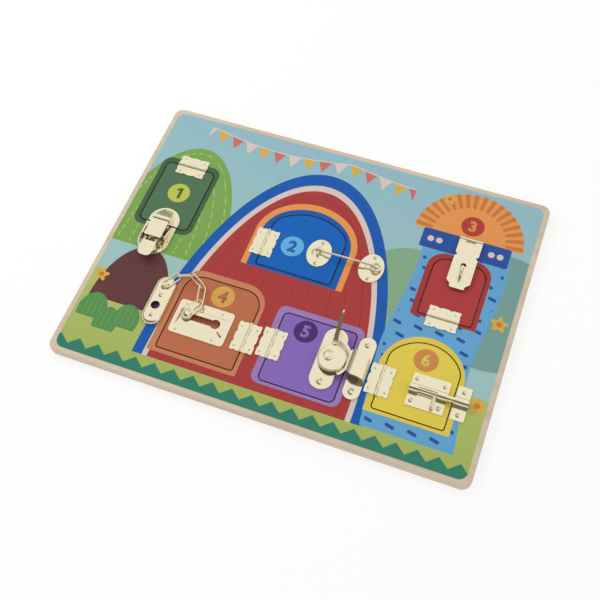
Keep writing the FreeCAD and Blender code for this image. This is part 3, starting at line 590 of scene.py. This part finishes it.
class LATCHBOARD_OT_numerals(bpy.types.Operator):
    """Thin printed numerals 1 to 6"""
    bl_idname = "latchboard.numerals"
    bl_label = "Numerals"

    def execute(self, context):
        look = context.scene.latch_doors
        for n, (cx, cy, owner) in NUMBER_FIELDS.items():
            bm = bmesh.new()
            if n == 1:
                bm.faces.new([bm.verts.new((x, y, 0.0)) for x, y in NUMERAL_ONE])
            else:
                load_glyph(context, bm, str(n))
            xs = [v.co.x for v in bm.verts]
            ys = [v.co.y for v in bm.verts]
            k = look.numeral_height / (max(ys) - min(ys))
            mid = Vector(((max(xs) + min(xs)) / 2, (max(ys) + min(ys)) / 2, 0))
            place = Matrix.Translation((cx / 1000, cy / 1000, TOP + INK_LIFT))
            place = place @ Matrix.Scale(k, 4) @ Matrix.Translation(-mid)
            bmesh.ops.transform(bm, matrix=place, verts=bm.verts)
            for v in bm.verts:
                v.co.z = TOP + INK_LIFT
            bmesh.ops.remove_doubles(bm, verts=bm.verts, dist=1e-6)
            top = bmesh.ops.extrude_face_region(bm, geom=bm.faces[:])
            raised = [g for g in top["geom"] if isinstance(g, bmesh.types.BMVert)]
            bmesh.ops.translate(bm, vec=(0, 0, INK_THICKNESS), verts=raised)
            bmesh.ops.recalc_face_normals(bm, faces=bm.faces)
            mesh = bpy.data.meshes.new("numeral_%d" % n)
            bm.to_mesh(mesh)
            bm.free()
            obj = bpy.data.objects.new("numeral_%d" % n, mesh)
            context.scene.collection.objects.link(obj)
            m, t, where = new_material("numeral_%d_ink" % n)
            ink = getattr(look, "numeral_%d" % n)
            close_material(t, paint_values(t, where, ink))
            set_material(obj, m)
            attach(obj, owner)
        return {"FINISHED"}


def brass_material(name, look):
    """Polished pale brass plate: faint stamping waves, fine scratches and painted shade darkening its
    hollows.
    """
    m, t, where = new_material(name)
    wave = t.noise(where, 55.0, 2.0)
    fine = t.noise(where, 900.0, 3.0, 0.6)
    speck = t.noise(where, 240.0, 4.0, 0.7)
    pale = srgb_of(look.brass)
    deep = tuple(c * k for c, k in zip(pale[:3], (0.84, 0.78, 0.62))) + (1.0,)
    # painted shade colour: a dark brown of the brass that stands in for the shade in crevices
    painted_crevice_shade = tuple(c * k for c, k in zip(pale[:3], (0.30, 0.24, 0.13))) + (1.0,)
    col = t.mix(((speck - 0.52) * 3.0).unit() * 0.5, pale, deep)
    # painted shade: ambient occlusion darkens the brass colour in crevices, round screw heads and
    # between close parts
    open_sky = t.put("ShaderNodeAmbientOcclusion", {"samples": 8}, {"Distance": look.crevice})[1]
    col = t.mix(((0.95 - open_sky) * 2.1).unit(), col, painted_crevice_shade)
    rough = look.roughness + (fine - 0.5) * 0.08 + (wave - 0.5) * 0.10
    round_edge = t.put("ShaderNodeBevel", {"samples": 6}, {"Radius": look.soft_edge})[0]
    dent = t.put("ShaderNodeBump", {}, {"Strength": 0.12, "Distance": 0.0006, "Height": wave,
                                        "Normal": round_edge})[0]
    close_material(t, {"Base Color": col, "Metallic": 1.0, "Roughness": rough, "Normal": dent})
    return m


def shared_brass(scene):
    """The one brass of all hinges and latches."""
    m = bpy.data.materials.get("pale_brass")
    return m or brass_material("pale_brass", scene.latch_metal)


def polish(context, node, crease=32.0):
    """A merged, smooth-shaded copy of a metal node takes its place."""
    cad = frame["nodes"][node]
    mesh = bpy.data.meshes.new(node + "_polished")
    bm = bmesh.new()
    bm.from_mesh(cad.data)
    bmesh.ops.remove_doubles(bm, verts=bm.verts, dist=2e-6)
    bmesh.ops.dissolve_degenerate(bm, dist=1e-7, edges=bm.edges)
    for f in bm.faces:
        f.smooth = True
    for e in bm.edges:
        e.smooth = len(e.link_faces) == 2 and e.calc_face_angle(0.0) < math.radians(crease)
    bm.to_mesh(mesh)
    bm.free()
    obj = bpy.data.objects.new(node + "_polished", mesh)
    context.scene.collection.objects.link(obj)
    set_material(obj, shared_brass(context.scene))
    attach(obj, cad["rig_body"])
    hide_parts(node)


class LATCHBOARD_OT_hinges(bpy.types.Operator):
    """Brass hinges with their pins and nails"""
    bl_idname = "latchboard.hinges"
    bl_label = "Hinges and nails"

    def execute(self, context):
        names = ["hinge_%d_%s_leaf" % (n, side) for n in DOORS for side in ("board", "door")]
        names += ["door_%d_nails" % n for n in DOORS] + ["board_nails", "hinge_pins"]
        for node in names:
            polish(context, node)
        return {"FINISHED"}


class LATCHBOARD_OT_toggle(bpy.types.Operator):
    """Toggle latch of door 1"""
    bl_idname = "latchboard.toggle"
    bl_label = "Toggle latch"

    def execute(self, context):
        for node in ("toggle_base", "toggle_base_pin", "toggle_lever", "toggle_claw_pin", "toggle_claw",
                     "toggle_catch"):
            polish(context, node, 25.0)
        return {"FINISHED"}


class LATCHBOARD_OT_hook(bpy.types.Operator):
    """Hook and eye of door 2"""
    bl_idname = "latchboard.hook"
    bl_label = "Hook and eye"

    def execute(self, context):
        for node in ("hook_plate", "hook_rod", "eye_plate", "door_2_screws", "board_screws"):
            polish(context, node)
        return {"FINISHED"}


class LATCHBOARD_OT_hasp(bpy.types.Operator):
    """Hasp of door 3"""
    bl_idname = "latchboard.hasp"
    bl_label = "Hasp"

    def execute(self, context):
        for node in ("hasp_leaf", "hasp_pin", "hasp_strap", "hasp_staple"):
            polish(context, node)
        return {"FINISHED"}


class LATCHBOARD_OT_chain(bpy.types.Operator):
    """Door chain of door 4"""
    bl_idname = "latchboard.chain"
    bl_label = "Door chain"

    def execute(self, context):
        links = ["chain_link_%d" % k for k in range(1, 6)]
        for node in ["chain_base", "chain_knob", "slot_plate"] + links:
            polish(context, node)
        return {"FINISHED"}


class LATCHBOARD_OT_cam(bpy.types.Operator):
    """Cam latch of door 5"""
    bl_idname = "latchboard.cam"
    bl_label = "Cam latch"

    def execute(self, context):
        for node in ("cam_base", "cam_lever", "cam_rivet", "cam_keeper", "door_5_screws"):
            polish(context, node)
        return {"FINISHED"}


class LATCHBOARD_OT_bolt(bpy.types.Operator):
    """Barrel bolt of door 6"""
    bl_idname = "latchboard.bolt"
    bl_label = "Barrel bolt"

    def execute(self, context):
        for node in ("bolt_plate", "bolt", "bolt_keeper", "door_6_screws"):
            polish(context, node)
        return {"FINISHED"}


def lamp(context, name, place, aim, size, power):
    """Round soft lamp that isn't mirrored in the brass."""
    data = bpy.data.lights.new(name, "AREA")
    data.shape = "DISK"
    data.size = size
    data.energy = power
    obj = bpy.data.objects.new(name, data)
    context.scene.collection.objects.link(obj)
    obj.location = place
    obj.rotation_euler = (Vector(aim) - Vector(place)).to_track_quat("-Z", "Y").to_euler()
    obj.visible_glossy = False


class LATCHBOARD_OT_stage(bpy.types.Operator):
    """Pale floor, soft light and the camera at a three-quarter view from above"""
    bl_idname = "latchboard.stage"
    bl_label = "Stage"

    def execute(self, context):
        s, look = context.scene, context.scene.latch_stage
        bm = bmesh.new()
        bmesh.ops.create_grid(bm, x_segments=1, y_segments=1, size=6.0,
                              matrix=Matrix.Translation((0, 0, -0.0002)))
        mesh = bpy.data.meshes.new("floor")
        bm.to_mesh(mesh)
        bm.free()
        floor = bpy.data.objects.new("floor", mesh)
        s.collection.objects.link(floor)
        m, t, _ = new_material("pale_floor")
        lit = t.put("ShaderNodeBsdfDiffuse", {}, {"Color": (0.97, 0.97, 0.97, 1)})[0]
        glow = t.put("ShaderNodeEmission", {}, {"Color": (1, 1, 1, 1), "Strength": 1.07})[0]
        ray = t.put("ShaderNodeLightPath")
        seen = ray[0].high(ray[3]).high(ray[6])
        surface = t.put("ShaderNodeMixShader", {}, [seen * 0.7, lit, glow])[0]
        t.put("ShaderNodeOutputMaterial", {}, [surface])
        set_material(floor, m)

        # even light on the object, a plain studio mirrored in the brass, white behind
        world = bpy.data.worlds.new("studio")
        world.use_nodes = True
        world.node_tree.nodes.clear()
        t = Tree(world.node_tree)
        even = t.put("ShaderNodeBackground", {}, {"Color": (1, 1, 1, 1),
                                                  "Strength": look.sky_level})[0]
        way = t.put("ShaderNodeTexCoord")[0]
        side, depth, up = t.put("ShaderNodeSeparateXYZ", {}, [way])
        front = (0.05 - depth * 2.4 - side * 0.5).unit()
        gap = (side + 0.62) * 5.0
        gap = (1.0 - gap * gap).unit() * 0.75 * ((0.93 - up) * 5.0).unit()
        left = ((-side - 0.45) * 4.0).unit() * 0.9
        room = front.high(gap).high(left) * (0.12 + (up - 0.36) * 8.0).unit()
        tent = t.mix(room, (0.98, 0.97, 0.95, 1), (0.13, 0.10, 0.065, 1))
        mirrored = t.put("ShaderNodeBackground", {}, {"Color": tent, "Strength": 1.0})[0]
        white = t.put("ShaderNodeBackground", {}, {"Color": (1, 1, 1, 1), "Strength": 1.0})[0]
        ray = t.put("ShaderNodeLightPath")
        out = t.put("ShaderNodeMixShader", {}, [ray[3].high(ray[6]), even, mirrored])[0]
        out = t.put("ShaderNodeMixShader", {}, [ray[0], out, white])[0]
        t.put("ShaderNodeOutputWorld", {}, [out])
        s.world = world

        lamp(context, "key_lamp", look.key_place, (0, 0, 0), 0.7, look.key_power)

        eye, aim = Vector(look.eye), Vector(look.aim)
        back = (eye - aim).normalized()
        right = Vector((0, 0, 1)).cross(back).normalized()
        up = back.cross(right)
        c, k = math.cos(look.roll), math.sin(look.roll)
        right, up = right * c + up * k, up * c - right * k
        cam = bpy.data.cameras.new("main_camera")
        cam.lens = look.lens
        cam.sensor_width = 36.0
        cam.clip_start, cam.clip_end = 0.01, 30.0
        obj = bpy.data.objects.new("main_camera", cam)
        s.collection.objects.link(obj)
        place = Matrix((right, up, back)).transposed().to_4x4()
        place.translation = eye
        obj.matrix_world = place
        s.camera = obj
        s.view_settings.view_transform = "Standard"
        return {"FINISHED"}


OPERATORS = (LATCHBOARD_OT_stage, LATCHBOARD_OT_panels, LATCHBOARD_OT_doors, LATCHBOARD_OT_numerals,
             LATCHBOARD_OT_hinges, LATCHBOARD_OT_toggle, LATCHBOARD_OT_hook, LATCHBOARD_OT_hasp,
             LATCHBOARD_OT_chain, LATCHBOARD_OT_cam, LATCHBOARD_OT_bolt)
LOOKS = {"latch_print": LatchPrintLook, "latch_doors": LatchDoorLook, "latch_wood": LatchWoodLook,
         "latch_metal": LatchMetalLook, "latch_stage": LatchStageLook}


class LATCHBOARD_PT_side(bpy.types.Panel):
    """Lists the steps that dress the latch board"""
    bl_label = "Latch board"
    bl_idname = "LATCHBOARD_PT_side"
    bl_space_type = "VIEW_3D"
    bl_region_type = "UI"
    bl_category = "Latch board"

    def draw(self, context):
        for op in OPERATORS:
            self.layout.operator(op.bl_idname)


def register():
    for cls in (*LOOKS.values(), *OPERATORS, LATCHBOARD_PT_side):
        bpy.utils.register_class(cls)
    for name, cls in LOOKS.items():
        setattr(bpy.types.Scene, name, bpy.props.PointerProperty(type=cls))


def unregister():
    for name in LOOKS:
        delattr(bpy.types.Scene, name)
    for cls in reversed((*LOOKS.values(), *OPERATORS, LATCHBOARD_PT_side)):
        bpy.utils.unregister_class(cls)


def main():
    register()
    for op in OPERATORS:
        group, name = op.bl_idname.split(".")
        getattr(getattr(bpy.ops, group), name)()


if __name__ == "__main__":
    main()
